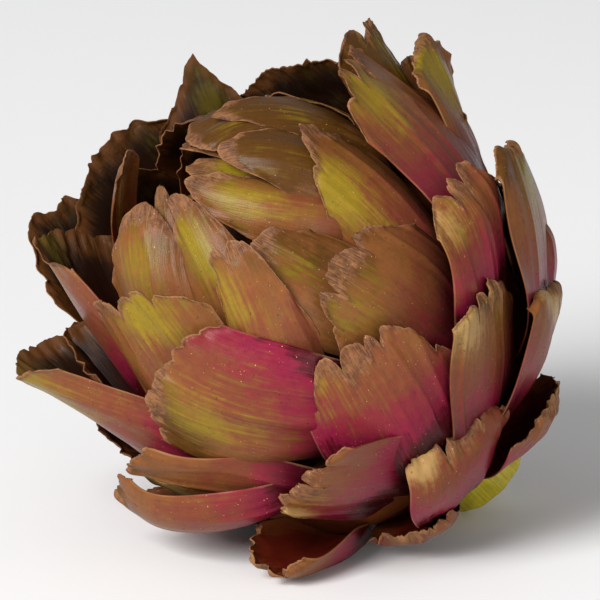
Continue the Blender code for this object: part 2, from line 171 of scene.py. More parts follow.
# %% The narrow bracts closed over the tip
INNER_BRACTS = (
    dict(azimuths=(-50, -55), root=(20, 17), tip=(1.5, 40), width=6, point=2),
    dict(azimuths=(-56, -62), root=(27, 4), tip=(6.8, 40.8), leaves=74, arrives=159, width=14.4,
         narrow=0.8, point=1.8, twist=-20, ripe=(0.6, 0.95), green=(0.65, -0.1, 0.75), dry=(5, 0)),
    dict(azimuths=(-31, -10), root=(29, 1), tip=(6.6, 39.5), leaves=70, arrives=155, width=9.5, cup=41,
         narrow=0.8, point=1.6, twist=6, ripe=(0.6, 0.95), green=(0.9, -0.1, 0.72), dry=(6, 0)),
    dict(azimuths=(49, 16), root=(31, 3), tip=(8.3, 40), leaves=66, arrives=144, width=9.6, cup=58,
         point=1.6, twist=9, ripe=(0.55, 0.95), green=(0.8, 0, 0.72), dry=(5, 0.2)),
    dict(azimuths=(58, 50), tip=(6, 40), width=10, point=1.8, green=(0.9, 0, 0.8)),
    dict(azimuths=(40, 88), root=(19, 18), tip=(6, 41), width=4),
    dict(azimuths=(178, 115), root=(26, 12), tip=(8, 39.5), width=10),
    dict(azimuths=(89, 88), root=(29, 3), tip=(8.4, 40.6), leaves=73, arrives=187, width=10.2, cup=25,
         shoulders=(0.8, 0.8), point=2.5, twist=5, ripe=(0.85, 1.15), green=(0.4, -0.2, 0.7), dry=(3, 0)),
    dict(azimuths=(53, 55), root=(31.5, 0), tip=(13.3, 38.3), leaves=65, arrives=163, width=9.2, cup=37,
         shoulders=(0.6, 0.7), point=1.6, twist=17, ripe=(0.7, 1.2), green=(0.2, -0.2, 0.75), dry=(4, 0)),
    dict(azimuths=(76, 88), root=(31, 0), tip=(15.3, 42.3), leaves=52, arrives=151, width=9.7, cup=32,
         twist=20, ripe=(0.8, 1.15), green=(0.3, -0.1, 0.7), dry=(3, 0)),
    dict(azimuths=(150, 154), root=(27, 6), tip=(19, 38), width=11, shoulders=(0.85, 0.85), point=3),
    dict(azimuths=(-134, -170), root=(31, 8), tip=(13, 43), width=4.5, shoulders=(0.85, 0.85), point=2.5,
         ripe=(0.35, 0.9), green=(0.6, 0, 0.5), cream=(0.9, 0, 0.7), turned=1),
    dict(azimuths=(-168, -168), root=(30, 2), tip=(22, 35), width=12),
)

# %% The broad cupped bracts round the middle
MIDDLE_BRACTS = (
    dict(azimuths=(29, 63), root=(38, -14), tip=(29.3, 33.5), leaves=67, arrives=106, width=14, cup=57,
         shoulders=(0.6, 0.7), twist=10, cuts=((-0.35, 2, 0.05), (0.35, 1.5, 0.1)), ripe=(0.25, 0.95),
         blush=0.1, green=(1, -0.5, 0.72), dry=(5, 0)),
    dict(azimuths=(-27, -2), root=(36.5, -8), tip=(27.7, 34.9), leaves=62, arrives=139, width=10,
         shoulders=(0.55, 0.5), flat=0.3, twist=12, cuts=((-0.1, 2.5, 0.05), (0.3, 1.5, 0.1)),
         ripe=(0.45, 0.85), green=(0.6, -0.4, 0.75), dry=(4, 0.1)),
    dict(azimuths=(17, 5), root=(38, -8), tip=(27.9, 29.3), leaves=72, arrives=138, width=12, cup=39,
         shoulders=(0.75, 0.75), flat=0.3, point=1.5, twist=-17, ripe=(0.7, 0.95), green=(0.4, 0, 0.8)),
    dict(azimuths=(24, 15), root=(38, -22), tip=(40.5, 21), arrives=125, width=18, shoulders=(0.6, 0.6),
         flat=0.35, point=1.4, cuts=((-0.28, 4, 0.04), (0.3, 4, 0.1), (-0.6, 1.5, 0.05)), ripe=(0.3, 1),
         blush=-0.05, green=(0.5, -0.35, 0.8), dry=(7, 0)),
    dict(azimuths=(-43, -58), root=(39, -7), tip=(28.9, 38.2), leaves=69, arrives=106, width=18.7,
         shoulders=(0.85, 0.75), flat=0.3, point=2, twist=7,
         cuts=((0, 3, 0.06), (0.25, 2, 0.05), (0.5, 3.5, 0.04)), ripe=(0.45, 0.85), green=(0.9, 0.3, 0.9),
         dry=(3, -0.2)),
    dict(azimuths=(112, 112), tip=(28, 31), width=14, cells=PLAIN),
    dict(azimuths=(160, 160), tip=(28, 29), width=14, cells=PLAIN),
    dict(azimuths=(-152, -152), tip=(28, 28), cells=PLAIN),
)

# %% The large open bracts outside them
OUTER_BRACTS = (
    dict(azimuths=(0, -47), root=(36, -20), tip=(40.2, 26.4), leaves=54, arrives=117, width=16.2, cup=36,
         shoulders=(0.85, 0.85), flat=0.3, point=2, twist=-5, cuts=((-0.2, 1.5, 0.05), (0.3, 1, 0.08)),
         ripe=(0.15, 0.85), blush=-0.36, green=(0.6, -0.3, 0.75), dry=(4, -0.4)),
    dict(azimuths=(-13, 3), root=(35, -34), tip=(45.9, 9.6), leaves=36, arrives=113, width=17, cup=36,
         shoulders=(0.75, 0.7), flat=0.3, twist=8,
         cuts=((-0.8, 5, 0.08), (-0.25, 4.5, 0.06), (0.1, 2, 0.04), (0.28, 3.5, 0.05), (0.82, 4, 0.04)),
         ripe=(-0.12, 0.8), blush=0.05, green=(0.35, -0.6, 0.9), dry=(8, -0.15)),
    dict(azimuths=(-46, -112), root=(39, -16), tip=(50, 27.1), leaves=56, arrives=60, width=20, cup=71,
         shoulders=(0.9, 0.75), point=2, twist=15, cuts=((0.4, 2, 0.08),), ripe=(0.1, 1),
         green=(1, 0.4, 0.85)),
    dict(azimuths=(-74, -145), root=(36, -1), tip=(39.4, 36.1), leaves=90, arrives=66, width=19, cup=60,
         shoulders=(0.9, 0.7), point=2, twist=-14, ripe=(0.1, 1), green=(0.9, 0.3, 0.9)),
    dict(azimuths=(-172, -172.5), tip=(46, 33.5), leaves=65, arrives=85, width=20, shoulders=(0.85, 0.85),
         point=3, ripe=(0.2, 1)),
    dict(azimuths=(-136, -150), tip=(47, 36), leaves=65, arrives=85, width=15, shoulders=(0.8, 0.8),
         point=2.5, ripe=(0.2, 1)),
    dict(azimuths=(172, 149), root=(35, -29), tip=(45.1, 36.4), leaves=79, arrives=60, width=14, cup=25,
         shoulders=(0.55, 0.8), point=1.3, twist=4, ripe=(0.2, 1), green=(0.8, 0, 0.8)),
    dict(azimuths=(126, 132), tip=(41, 26), leaves=80, arrives=105, width=22, cup=15,
         shoulders=(0.9, 0.9), point=3, ripe=(0.2, 1)),
    dict(azimuths=(85, 112), root=(38, -23), tip=(57.9, 21.2), leaves=58, arrives=58, width=23, cup=66,
         shoulders=(0.85, 0.85), flat=0.3, point=2, twist=33, cuts=((-0.5, 3, 0.06), (0.3, 2, 0.08)),
         ripe=(0.6, 1.2), green=(1.1, 0, 0.95)),
    dict(azimuths=(50, 84), root=(39, -20), tip=(43.5, 32.6), leaves=48, arrives=96, width=17.7, cup=26,
         shoulders=(0.75, 0.85), flat=0.4, point=2, twist=10,
         cuts=((-0.7, 3, 0.06), (-0.35, 4, 0.05), (0, 3, 0.05), (0.45, 2, 0.05)), ripe=(0, 0.95),
         blush=0.05, green=(0.75, -0.35, 0.85), dry=(5, 0)),
    dict(azimuths=(88, 101), root=(40, -24), tip=(59.5, 12.6), leaves=62, arrives=68, width=17.3, cup=20,
         shoulders=(0.8, 0.8), flat=0.3, point=2, twist=38, curl=(3, 2), ripe=(0.15, 1),
         green=(1, -0.3, 0.85)),
    # This bract's high shelter paints shade where it lies close to the bud.
    dict(azimuths=(28, 52), root=(36, -29), tip=(52.1, 12.6), leaves=53, arrives=111, width=13.5, cup=36,
         shoulders=(0.75, 0.75), flat=0.3, point=2, hood=3, twist=4,
         cuts=((-0.3, 5, 0.07), (0.1, 3, 0.06)), ripe=(-0.2, 0.85), blush=-0.1, green=(0.5, -0.5, 0.85),
         cream=(0.5, -0.7, 0.8), shelter=1.2),
    dict(azimuths=(43, 72), root=(37, -33), tip=(57.5, -2.4), leaves=31, arrives=71, width=15.4, cup=16,
         shoulders=(0.85, 0.9), flat=0.4, point=3, twist=5, cuts=((-0.2, 3, 0.06), (0.3, 2, 0.06)),
         curl=(4, 2.5), ripe=(0.2, 1.05), green=(0.9, 0, 0.85), cream=(0.4, -0.2, 0.95)),
    dict(azimuths=(7, 36), root=(33, -38), tip=(51.9, -7.2), leaves=38, arrives=71, width=14.5, cup=18,
         shoulders=(0.85, 0.8), point=2.4, twist=-12,
         cuts=((-0.5, 3, 0.05), (-0.15, 3, 0.05), (0.2, 3, 0.05), (0.5, 2, 0.05)), curl=(3, 2.5),
         ripe=(0.25, 1), green=(0.5, 0, 0.95), cream=(0.8, -0.7, 0.85)),
    dict(azimuths=(17, 60), root=(32, -39), tip=(48.8, -27.3), leaves=27, arrives=67, width=15.7, cup=34,
         shoulders=(0.7, 0.7), flat=0.2, point=2, twist=5,
         cuts=((-0.4, 4, 0.05), (0, 3, 0.05), (0.3, 3, 0.05)), curl=(4, 2.5), ripe=(0.2, 0.95),
         green=(0.4, -0.3, 0.9), cream=(2, -0.3, 0.85)),
    dict(azimuths=(-96, -118), root=(36, -14), tip=(41, 24.5), leaves=70, arrives=90, width=14,
         cells=PLAIN),
)

# %% The spread bracts at the base
LOWEST_BRACTS = (
    dict(azimuths=(-31, -78), root=(33, -22), tip=(51.2, 4), leaves=8, arrives=61, width=17.2, cup=44,
         shoulders=(0.85, 0.85), point=3, cuts=((0.3, 3, 0.06),), curl=(2, 2.5), ripe=(0.25, 0.95),
         cream=(1.2, 0, 0.85), inside=-0.3),
    dict(azimuths=(-28, -89), root=(33, -23), tip=(55.3, -1.3), leaves=32, arrives=88, width=14.3, cup=93,
         shoulders=(0.85, 0.85), point=3, twist=10, curl=(2, 2), ripe=(0.1, 0.95), inside=-0.3),
    dict(azimuths=(-5, -31), root=(28, -37), tip=(55.2, -7.1), leaves=29, arrives=53, width=14.5, cup=15,
         shoulders=(0.85, 0.85), point=2.6, twist=-1,
         cuts=((0.2, 4, 0.06), (-0.2, 2, 0.06), (0.6, 3, 0.05)), ripe=(-0.15, 0.8), cream=(1, -0.9, 0.9)),
    dict(azimuths=(-52, -52), root=(27, -40), tip=(57.6, -19.1), leaves=-3, arrives=47, width=12.6,
         cup=89, shoulders=(0.85, 0.85), point=3, hood=2, twist=41, cuts=((0, 3, 0.06), (0.4, 3, 0.05)),
         ripe=(-0.05, 0.9), cream=(0.9, 0, 1.0), inside=-0.8),
    dict(azimuths=(-28, -27), root=(20, -45), tip=(44, -37.7), leaves=4, arrives=54, width=10.5, cup=49,
         shoulders=(0.85, 0.85), point=3, twist=21, cuts=((0.5, 2, 0.05),), curl=(0, 3), ripe=(-0.1, 0.9),
         cream=(1, 0, 1.0), inside=-0.2),
    dict(azimuths=(-14, 6), root=(24, -46), tip=(47, -23), leaves=10, arrives=100, width=14, cup=30,
         narrow=0.35, shoulders=(0.85, 0.85), point=3, twist=-10, cuts=((-0.3, 4, 0.06), (0.4, 3, 0.05)),
         ripe=(-0.1, 0.9), cream=(1.3, -0.8, 0.95)),
    dict(azimuths=(12, 34), root=(18, -46), tip=(45.3, -39.5), leaves=1, arrives=52, width=13.9, cup=42,
         shoulders=(0.7, 0.7), curl=(0, 3), ripe=(-0.1, 0.9), cream=(1, 0, 1.0)),
)

# %% [markdown]
# The side that the photograph doesn't show has plainer rings. The bracts there come from a few azimuths
# each, with their roots lagging behind, because the rings wind round the bud like a screw. The outer
# ring has so many finely divided bracts that its two halves are pieces of their own.

# %% The far side, the underside and the collar round the stem
BACK_LOWEST = (78, 104, 130, 156, 182, 210)
BACK_OUTER = (106, 139, 172, 206, 242)
COLLAR_AZIMUTHS = (50, 100, 150, 200, 310)
UNDER_BRACTS = (
    dict(azimuths=(-118, -132), tip=(53, -23)),
    dict(azimuths=(-86, -94), root=(32, -34), tip=(46, -8), leaves=30, cells=PLAIN),
)
CLOSING_TIPS = ((-90, 5), (-120, 2), (-150, 6), (-180, 3), (150, 7), (120, 3))
UPPER_BRACTS = (
    dict(azimuths=(101, 110), root=(38, -21), tip=(60.4, 9.0), leaves=28, arrives=57, width=10.4, cup=3,
         shoulders=(0.8, 0.8), flat=0.3, point=2, twist=75, ripe=(0.2, 0.8), cells=PLAIN),
)
BACK_CUTS = ((-0.45, 3, 0.06), (0.1, 2.5, 0.05), (0.5, 3, 0.06))
LOWEST_LAG, OUTER_LAG, COLLAR_LAG = 14, 6, 20
CLOSING_LAG, CLOSING_LEAD = 8, 4
HALF_OF_OUTER = 8
rings = [
    ("inner_bracts", INNER, INNER_BRACTS),
    ("middle_bracts", MIDDLE, MIDDLE_BRACTS),
    ("outer_bracts", OUTER, OUTER_BRACTS[:HALF_OF_OUTER]),
    ("side_bracts", OUTER, OUTER_BRACTS[HALF_OF_OUTER:]),
    ("lowest_bracts", LOWEST, LOWEST_BRACTS),
    ("far_lowest_bracts", LOWEST, [
        dict(azimuths=(azimuth - LOWEST_LAG, azimuth), tip=(50, -19), cuts=BACK_CUTS)
        for azimuth in BACK_LOWEST]),
    ("under_bracts", LOWEST, UNDER_BRACTS),
    ("far_outer_bracts", OUTER, [
        dict(azimuths=(azimuth - OUTER_LAG, azimuth), tip=(52, 4), cuts=BACK_CUTS)
        for azimuth in BACK_OUTER]),
    ("collar_bracts", COLLAR, [
        dict(azimuths=(azimuth - COLLAR_LAG, azimuth)) for azimuth in COLLAR_AZIMUTHS]),
    ("upper_bracts", OUTER, UPPER_BRACTS),
    ("closing_bracts", INNER, [
        dict(azimuths=(azimuth - CLOSING_LAG, azimuth + CLOSING_LEAD), root=(31, 2), tip=(radius, 29),
             leaves=62, arrives=165, width=12, cup=34, green=(0.5, 0, 0.85))
        for azimuth, radius in CLOSING_TIPS]),
]
print(sum(len(members) for _, _, members in rings), "bracts in", len(rings), "rings")

# %% [markdown]
# ## One blade as a surface
# A blade is a function of two numbers: how far across it a place is, from -1 to 1, and how far along
# it. The midrib is a curve that rises out of the bud. Across it the blade is an arc of a circle, so
# that a narrow arc gives a flat leaf and a wide one a spoon. Both numbers may be whole arrays, so one
# call gives every point of the blade.

# %% Midrib and cross-section
HANDLE = 0.38
SUNK = 0.15
FULL_WIDTH_AT = 0.6
HOOD_FROM = 0.7
KEEL_SOFTNESS = 0.14
WAVES = 1.4
RAG_STEPS = 8
FIRST_SEED = 100
SMALL_STEP = 0.001
TINY = 1e-12


def unit(vectors):
    """Vectors in the last axis of an array, each brought to length one."""
    return vectors / np.maximum(np.linalg.norm(vectors, axis=-1, keepdims=True), TINY)


def blade_length(bract):
    """Straight distance between the two ends of a midrib, in millimetres."""
    return math.dist(bract["root"], bract["tip"])


def midrib(bract, along):
    """Points of the midrib and their azimuths: a cubic curve in radius and height, weighted by the
    four Bezier shares of its ends and handles, while the azimuth turns evenly."""
    root, tip = np.array(bract["root"]), np.array(bract["tip"])
    reach = HANDLE * blade_length(bract)
    leaves, arrives = math.radians(bract["leaves"]), math.radians(bract["arrives"])
    near_root = root + reach * np.array((math.cos(leaves), math.sin(leaves)))
    near_tip = tip - reach * np.array((math.cos(arrives), math.sin(arrives)))
    shares = ((1 - along) ** 3, 3 * along * (1 - along) ** 2, 3 * along ** 2 * (1 - along), along ** 3)
    curve = sum(share[..., None] * place for share, place in zip(shares, (root, near_root, near_tip, tip)))
    start, stop = np.radians(bract["azimuths"])
    azimuth = start + (stop - start) * along
    radius, height = curve[..., 0], curve[..., 1]
    return np.stack([radius * np.cos(azimuth), radius * np.sin(azimuth), height], -1), azimuth


def half_width(bract, along):
    """Half the width of the blade, in millimetres: it swells like a quarter of a sine wave."""
    grown = np.sin(np.clip(along / FULL_WIDTH_AT, 0, 1) * math.pi / 2)
    return bract["width"] * (bract["narrow"] + (1 - bract["narrow"]) * grown)


def blade_skin(bract, across, along, waves):
    """Points of the blade's outer face: the midrib plus an arc of a circle across it, less a fold
    along the midrib, less the hood, plus a wave along the sides, all turned by the twist."""
    point, azimuth = midrib(bract, along)
    run = unit(midrib(bract, along + SMALL_STEP)[0] - midrib(bract, along - SMALL_STEP)[0])
    around = np.stack([-np.sin(azimuth), np.cos(azimuth), np.zeros_like(azimuth)], -1)
    side = unit(around - (around * run).sum(-1, keepdims=True) * run)
    out = np.cross(side, run)
    half = half_width(bract, along)
    cup = math.radians(bract["cup"])
    sideways = half * np.sin(cup * across) / cup
    outwards = -half * (1 - np.cos(cup * across)) / cup
    outwards -= bract["keel"] * half * (np.hypot(across, KEEL_SOFTNESS) - KEEL_SOFTNESS)
    outwards -= bract["hood"] * np.clip((along - HOOD_FROM) / (1 - HOOD_FROM), 0, 1) ** 2
    start, drift = waves
    outwards += bract["ripple"] * across ** 2 * np.sin(2 * math.pi * WAVES * along + start + across * drift)
    twist = np.radians(bract["twist"]) * along
    turned_sideways = sideways * np.cos(twist) - outwards * np.sin(twist)
    turned_outwards = sideways * np.sin(twist) + outwards * np.cos(twist)
    return point + turned_sideways[..., None] * side + turned_outwards[..., None] * out


print("a blade is", blade_length(OUTER), "mm from root to tip, and", 2 * OUTER["width"], "mm wide")

# %% [markdown]
# ## Torn tips
# The tips have withered and split. A split is narrow at its bottom and its two lips are rounded, which
# is the shape of a falling exponential on both sides of it. Finer tears come from smooth noise: random
# numbers at whole steps, joined by S-curves.

# %% Smooth noise and the torn edge
LATTICE = 64
GROWN, ROLLED_SHARE = 0.4, 0.5
LOBE_PITCH = 4.5
LOBE_DRIFT, DRIFT_SIZE = 0.9, 5
LOBE_HEIGHT, HEIGHT_SPREAD, SPREAD_SIZE = 0.6, 0.6, 4
OTHER_ROW = 7
TEAR_SIZE, TEAR_DEPTH = 0.6, 0.35


def smooth_noise(x, y, seed):
    """Noise from -1 to 1 at each place: random numbers on a square lattice, mixed by how near each
    corner of the place's cell is, through the S-curve 3t^2 - 2t^3."""
    table = np.random.default_rng(seed).uniform(-1, 1, (LATTICE, LATTICE))
    column, row = np.floor(x).astype(int), np.floor(y).astype(int)
    right_share, upper_share = x - column, y - row
    right_share = right_share ** 2 * (3 - 2 * right_share)
    upper_share = upper_share ** 2 * (3 - 2 * upper_share)

    def corner(i, j):
        return table[(column + i) % LATTICE, (row + j) % LATTICE]

    lower = corner(0, 0) * (1 - right_share) + corner(1, 0) * right_share
    upper = corner(0, 1) * (1 - right_share) + corner(1, 1) * right_share
    return lower * (1 - upper_share) + upper * upper_share


def whole_edge(bract, across, knots):
    """How far along the blade the tip lies: a rounded point between two shoulders, less broad tears
    whose depths at even steps across are the knots, plus what the lobes and the roll will take away."""
    shoulder = np.where(across < 0, *bract["shoulders"])
    slope = np.clip((np.abs(across) - bract["flat"]) / (1 - bract["flat"]), 0, 1)
    tears = bract["rag"] * np.interp(across, np.linspace(-1, 1, len(knots)), knots)
    rolled = bract["curl"][0] * ROLLED_SHARE + GROWN
    return shoulder + (1 - shoulder) * (1 - slope ** bract["point"]) + (rolled - tears) / blade_length(bract)


def split_depth(bract, across, seed):
    """Depth in millimetres of the splits, the lobes and the fine tears: each split is its depth times
    a falling exponential of the distance across, the valleys between the lobes are one less the size
    of a sine wave, squared, at places and depths that noise varies, and the tears are fine noise."""
    depth = sum((deep * np.exp(-np.abs(across - place) / wide) for place, deep, wide in bract["cuts"]),
                np.zeros_like(across))
    millimetres = across * bract["width"]
    level = np.zeros_like(across)
    drift = smooth_noise(millimetres / DRIFT_SIZE, level, seed + 1)
    valley = (1 - np.abs(np.sin(math.pi * (millimetres / LOBE_PITCH + LOBE_DRIFT * drift)))) ** 2
    spread = smooth_noise(millimetres / SPREAD_SIZE, level + OTHER_ROW, seed + 1)
    height = bract["lobes"] * (LOBE_HEIGHT + HEIGHT_SPREAD * spread)
    finest = np.abs(smooth_noise(millimetres / TEAR_SIZE, level, seed + 2))
    return depth + height * valley + TEAR_DEPTH * finest


print("noise of", LATTICE, "by", LATTICE, "random numbers")

# %% [markdown]
# ## From a skin to a leaf
# The rim of an open bract rolls inward round a small cylinder. Fine relief then pushes the skin along
# its normal: ribs that run from root to tip, soft folds, sharp creases, the wrinkles of the withered
# tip and a frill along the torn edge. All of it is the same smooth noise, at a different size and
# stretched along the leaf by a different amount each time.

# %% The rolled rim and the relief
# each relief's width in millimetres, and how many times longer it is along the leaf
RIBS, FOLDS, CREASES, WRINKLES, FRILLS = (1.1, 20), (9.0, 2), (4.5, 6), (1.3, 2), (1.4, 3)
RIB_HEIGHT, FOLD_HEIGHT, CREASE_HEIGHT, FRILL_HEIGHT = 0.06, 0.5, 0.45, 0.7
CREASE_SHARPNESS, CREASE_TILT = 4, 0.6
FRILL_FROM = 4.0


def soft_step(value):
    """The S-curve 3t^2 - 2t^3 of a value held between 0 and 1."""
    held = np.clip(value, 0, 1)
    return held ** 2 * (3 - 2 * held)


def rolled_skin(bract, across, along, edge, waves):
    """The outer face and its normals. Where the roll starts the skin leaves the blade for a circle:
    radius times the sine of the angle onwards, and radius times one less the cosine inwards."""
    length = blade_length(bract)
    curled, radius = bract["curl"]
    past = np.clip((along - edge) * length + curled, 0, None)
    start = along - past / length
    skin = blade_skin(bract, across, start, waves)
    run = unit(blade_skin(bract, across, start + SMALL_STEP, waves) - skin)
    normal = unit(np.cross(blade_skin(bract, across + SMALL_STEP, start, waves) - skin, run))
    sine, cosine = np.sin(past / radius)[..., None], np.cos(past / radius)[..., None]
    return skin + sine * radius * run - (1 - cosine) * radius * normal, cosine * normal + sine * run


def grain(x, y, width, longer, seed):
    """Noise whose bumps are some millimetres wide and so many times longer along the leaf."""
    return smooth_noise(x / width, y / (longer * width), seed)


def relief_height(bract, x, y, to_tip, withered, seed):
    """Height of the relief, in millimetres: the sum of ribs, folds, creases, wrinkles and the frill.
    A crease is one less the size of the noise, to a power, so it is sharp where the noise is 0."""
    crease = grain(x, y, *CREASES, seed + 7)
    frill = soft_step(1 - to_tip / FRILL_FROM)
    height = RIB_HEIGHT * grain(x, y, *RIBS, seed + 3)
    height += FOLD_HEIGHT * grain(x, y, *FOLDS, seed + 4)
    height += CREASE_HEIGHT * ((1 - np.abs(crease)) ** CREASE_SHARPNESS + CREASE_TILT * crease)
    height += bract["lumps"] * withered * grain(x, y, *WRINKLES, seed + 5)
    return height + FRILL_HEIGHT * frill * grain(x, y, *FRILLS, seed + 6)


print("ribs every", RIBS[0], "mm, frill over the last", FRILL_FROM, "mm")

# %% [markdown]
# ## What the colours will read
# A bract is crimson where it is sheltered and brown where it is ripe, and painted shade darkens its root
# and the places that are sheltered, so the mesh has to carry how far each place is along those changes.
# A place is sheltered near the bud's body. The body's profile gives its radius at each height, and it is
# slimmer than the solid's, so that the gaps look deep.

# %% Numbers for the colours
BODY = ((0, 26), (9, 24), (16, 20), (24, 13), (30, 6), (35, -4), (38, -14), (38, -24), (34, -36), (24, -45),
        (0, -47))
SHELTERED_WITHIN = 17.0
RIPENESS_LOST = 0.45
PAINTED_SHADE_UP_TO = 0.45
GREEN_SIZE, CREAM_SIZE = (0.45, 0.22), (0.4, 0.14)


def soft_patch(across, along, patch, size):
    """A patch that fades like a bell: its strength times e to the power of less the squares of the
    distances from its place, each as a share of the patch's size."""
    strength, *place = patch
    return strength * np.exp(-((across - place[0]) / size[0]) ** 2 - ((along - place[1]) / size[1]) ** 2)


def colour_numbers(bract, across, along, skin):
    """Ripeness, the two patches and deep: painted shade, strongest at the root and where a place lies
    close to the bud's body. Shelter fades out where the gap to the body, measured level, reaches
    SHELTERED_WITHIN millimetres."""
    radius, height = np.array(BODY[::-1], float).T
    gap = np.hypot(skin[..., 0], skin[..., 1]) - np.interp(skin[..., 2], height, radius)
    sheltered = bract["shelter"] * soft_step(1 - gap / SHELTERED_WITHIN)
    ripe_root, ripe_tip = bract["ripe"]
    ripe = ripe_root + (ripe_tip - ripe_root) * along + bract["blush"] * across
    return {"ripe": ripe - RIPENESS_LOST * sheltered,
            "green": soft_patch(across, along, bract["green"], GREEN_SIZE),
            "cream": soft_patch(across, along, bract["cream"], CREAM_SIZE),
            "deep": np.clip(1 - along / PAINTED_SHADE_UP_TO, 0, 1) + sheltered}


print("sheltered within", SHELTERED_WITHIN, "mm of the body")

# %% [markdown]
# ## A closed leaf
# The inner face is the outer one moved inward by the leaf's thickness, which thins out towards the
# torn edge. Two copies of one grid need only a strip round their edges to close the leaf.

# %% Two faces and a strip
THICK, THIN = 1.5, 0.3
THICK_FROM = 7.0
ROWS_TO_TIP = 1.5
SPLIT_REACH, DEEPEST_SPLIT = 4, 0.9
DRY_WIDTH, LEAST_DRY, DRY_FROM = 0.35, 0.8, 1.2
FIBRE_SHIFT = 100


def closed_faces(rows, columns):
    """Four-sided faces of a grid, of its copy turned over, and of the strip between their edges."""
    number = np.arange(rows * columns).reshape(rows, columns)
    outer = np.stack([number[:-1, :-1], number[:-1, 1:], number[1:, 1:], number[1:, :-1]], -1).reshape(-1, 4)
    inner = outer[:, ::-1] + number.size
    loop = np.concatenate([number[0, :-1], number[:-1, -1], number[-1, :0:-1], number[:0:-1, 0]])
    after = np.roll(loop, -1)
    strip = np.stack([loop, loop + number.size, after + number.size, after], -1)
    return np.concatenate([outer, inner, strip])


def leaf(bract, seed):
    """A closed leaf as arrays: points in metres, four-sided faces, and what the colours read.

    Rows run from the sunken root to the torn edge, closer together near the edge, and are drawn back
    by the splits' depth times a power of the share of the way. The withered tip is a bell across."""
    random = np.random.default_rng(seed)
    knots = random.uniform(0, 1, RAG_STEPS + 1)
    knots[[0, -1]] = 0
    waves = random.uniform(0, 2 * math.pi, 2)
    fibre_shift = random.uniform(0, FIBRE_SHIFT, 2)
    cells_across, cells_along = bract["cells"]
    share, across = np.meshgrid(1 - (1 - np.linspace(0, 1, cells_along + 1)) ** ROWS_TO_TIP,
                                np.linspace(-1, 1, cells_across + 1), indexing="ij")
    length = blade_length(bract)
    edge = whole_edge(bract, across, knots)
    deepest = (edge + SUNK) / SPLIT_REACH * DEEPEST_SPLIT
    split = np.minimum(split_depth(bract, across, seed) / length, deepest)
    along = -SUNK + (edge + SUNK) * share - split * share ** SPLIT_REACH

    to_tip = (edge - split - along) * length
    to_edge = np.minimum(to_tip, (1 - np.abs(across)) * half_width(bract, along))
    dry_length, dry_place = bract["dry"]
    dry = dry_length * np.exp(-((across - dry_place) / DRY_WIDTH) ** 2) + LEAST_DRY
    withered = soft_step(DRY_FROM - to_tip / dry)
    x, y = across * bract["width"], along * length
    skin, normal = rolled_skin(bract, across, along, edge, waves)
    skin = skin + relief_height(bract, x, y, to_tip, withered, seed)[..., None] * normal
    thickness = THIN + (THICK - THIN) * soft_step(to_edge / THICK_FROM)
    lining = skin - thickness[..., None] * normal

    points = lay_down(np.concatenate([skin.reshape(-1, 3), lining.reshape(-1, 3)]))
    carried = {**colour_numbers(bract, across, along, skin), "withered": withered, "to_edge": to_edge,
               "fibre_x": x + fibre_shift[0], "fibre_y": y + fibre_shift[1]}
    values = {name: np.tile(value.ravel(), 2) for name, value in carried.items()}
    values["outside"] = np.repeat((1.0, bract["turned"]), across.size)
    values["ripe"][across.size:] += bract["inside"]
    return points, closed_faces(*across.shape), values


print("leaves are", THIN, "to", THICK, "mm thick")

# %% [markdown]
# ## Meshes from arrays
# Blender takes a whole array of vertices or of corners in one call, which is far quicker than adding
# them one by one. The leaves of a ring go into one mesh. Each vertex also carries a few numbers, such
# as how far it is from the torn edge, and the material will read those.

# %% Put arrays into a mesh
def add_piece(name, points, faces, values):
    """An object of a smooth mesh, with its numbers as point attributes and two of them as a map."""
    mesh = bpy.data.meshes.new(name)
    mesh.from_pydata(points, [], faces)
    mesh.polygons.foreach_set("use_smooth", np.ones(len(faces), bool))
    for label, value in values.items():
        if not label.startswith("fibre"):
            mesh.attributes.new(label, "FLOAT", "POINT").data.foreach_set("value", value.astype(np.float32))
    corners = np.empty(len(mesh.loops), np.int32)
    mesh.loops.foreach_get("vertex_index", corners)
    fibres = np.stack([values["fibre_x"], values["fibre_y"]], -1)[corners]
    mesh.uv_layers.new(name="fibres").data.foreach_set("uv", fibres.astype(np.float32).ravel())
    mesh.update()
    piece = bpy.data.objects.new(name, mesh)
    bpy.context.scene.collection.objects.link(piece)
    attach(piece, "root")
    return piece


def join_leaves(leaves):
    """Arrays of several leaves as one: points and numbers one after another, faces renumbered."""
    counts = np.cumsum([0] + [len(points) for points, _, _ in leaves])
    points = np.concatenate([part[0] for part in leaves])
    faces = np.concatenate([part[1] + count for part, count in zip(leaves, counts)])
    values = {label: np.concatenate([part[2][label] for part in leaves]) for label in leaves[0][2]}
    return points, faces, values


# %% Grow the rings of bracts
bract_pieces = []
seed = FIRST_SEED
for ring_name, shared, members in rings:
    leaves = []
    for own in members:
        leaves.append(leaf({**shared, **own}, seed))
        seed += 1
    piece = add_piece(ring_name, *join_leaves(leaves))
    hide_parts("head")
    bract_pieces.append(piece)
    print(ring_name, len(members), "bracts", 2 * len(piece.data.polygons), "triangles")

# %% [markdown]
# ## The bud's body and the stem
# Both are round about one line, so each is a profile turned about it. The body is only glimpsed
# between the bracts. The stem has shallow ribs, and its cut end is slightly hollow, as it dries.

# %% A turned surface with closed poles
STEM = ((0, -47.3), (9, -47.3), (10.4, -47.4), (10.6, -49), (10.8, -53), (11, -58), (11, -61), (10.9, -61.8),
        (10.3, -62.4), (9.6, -62.5), (8, -62.2), (4, -61.9), (0, -61.8))
STEM_SHIFT = 1.6
STEM_RIBS, STEM_RIB_DEPTH = 11, 0.35
RIB_FADE = 4
BODY_SIDES, BODY_ROWS = 64, 40
STEM_SIDES, STEM_ROWS = 132, 60


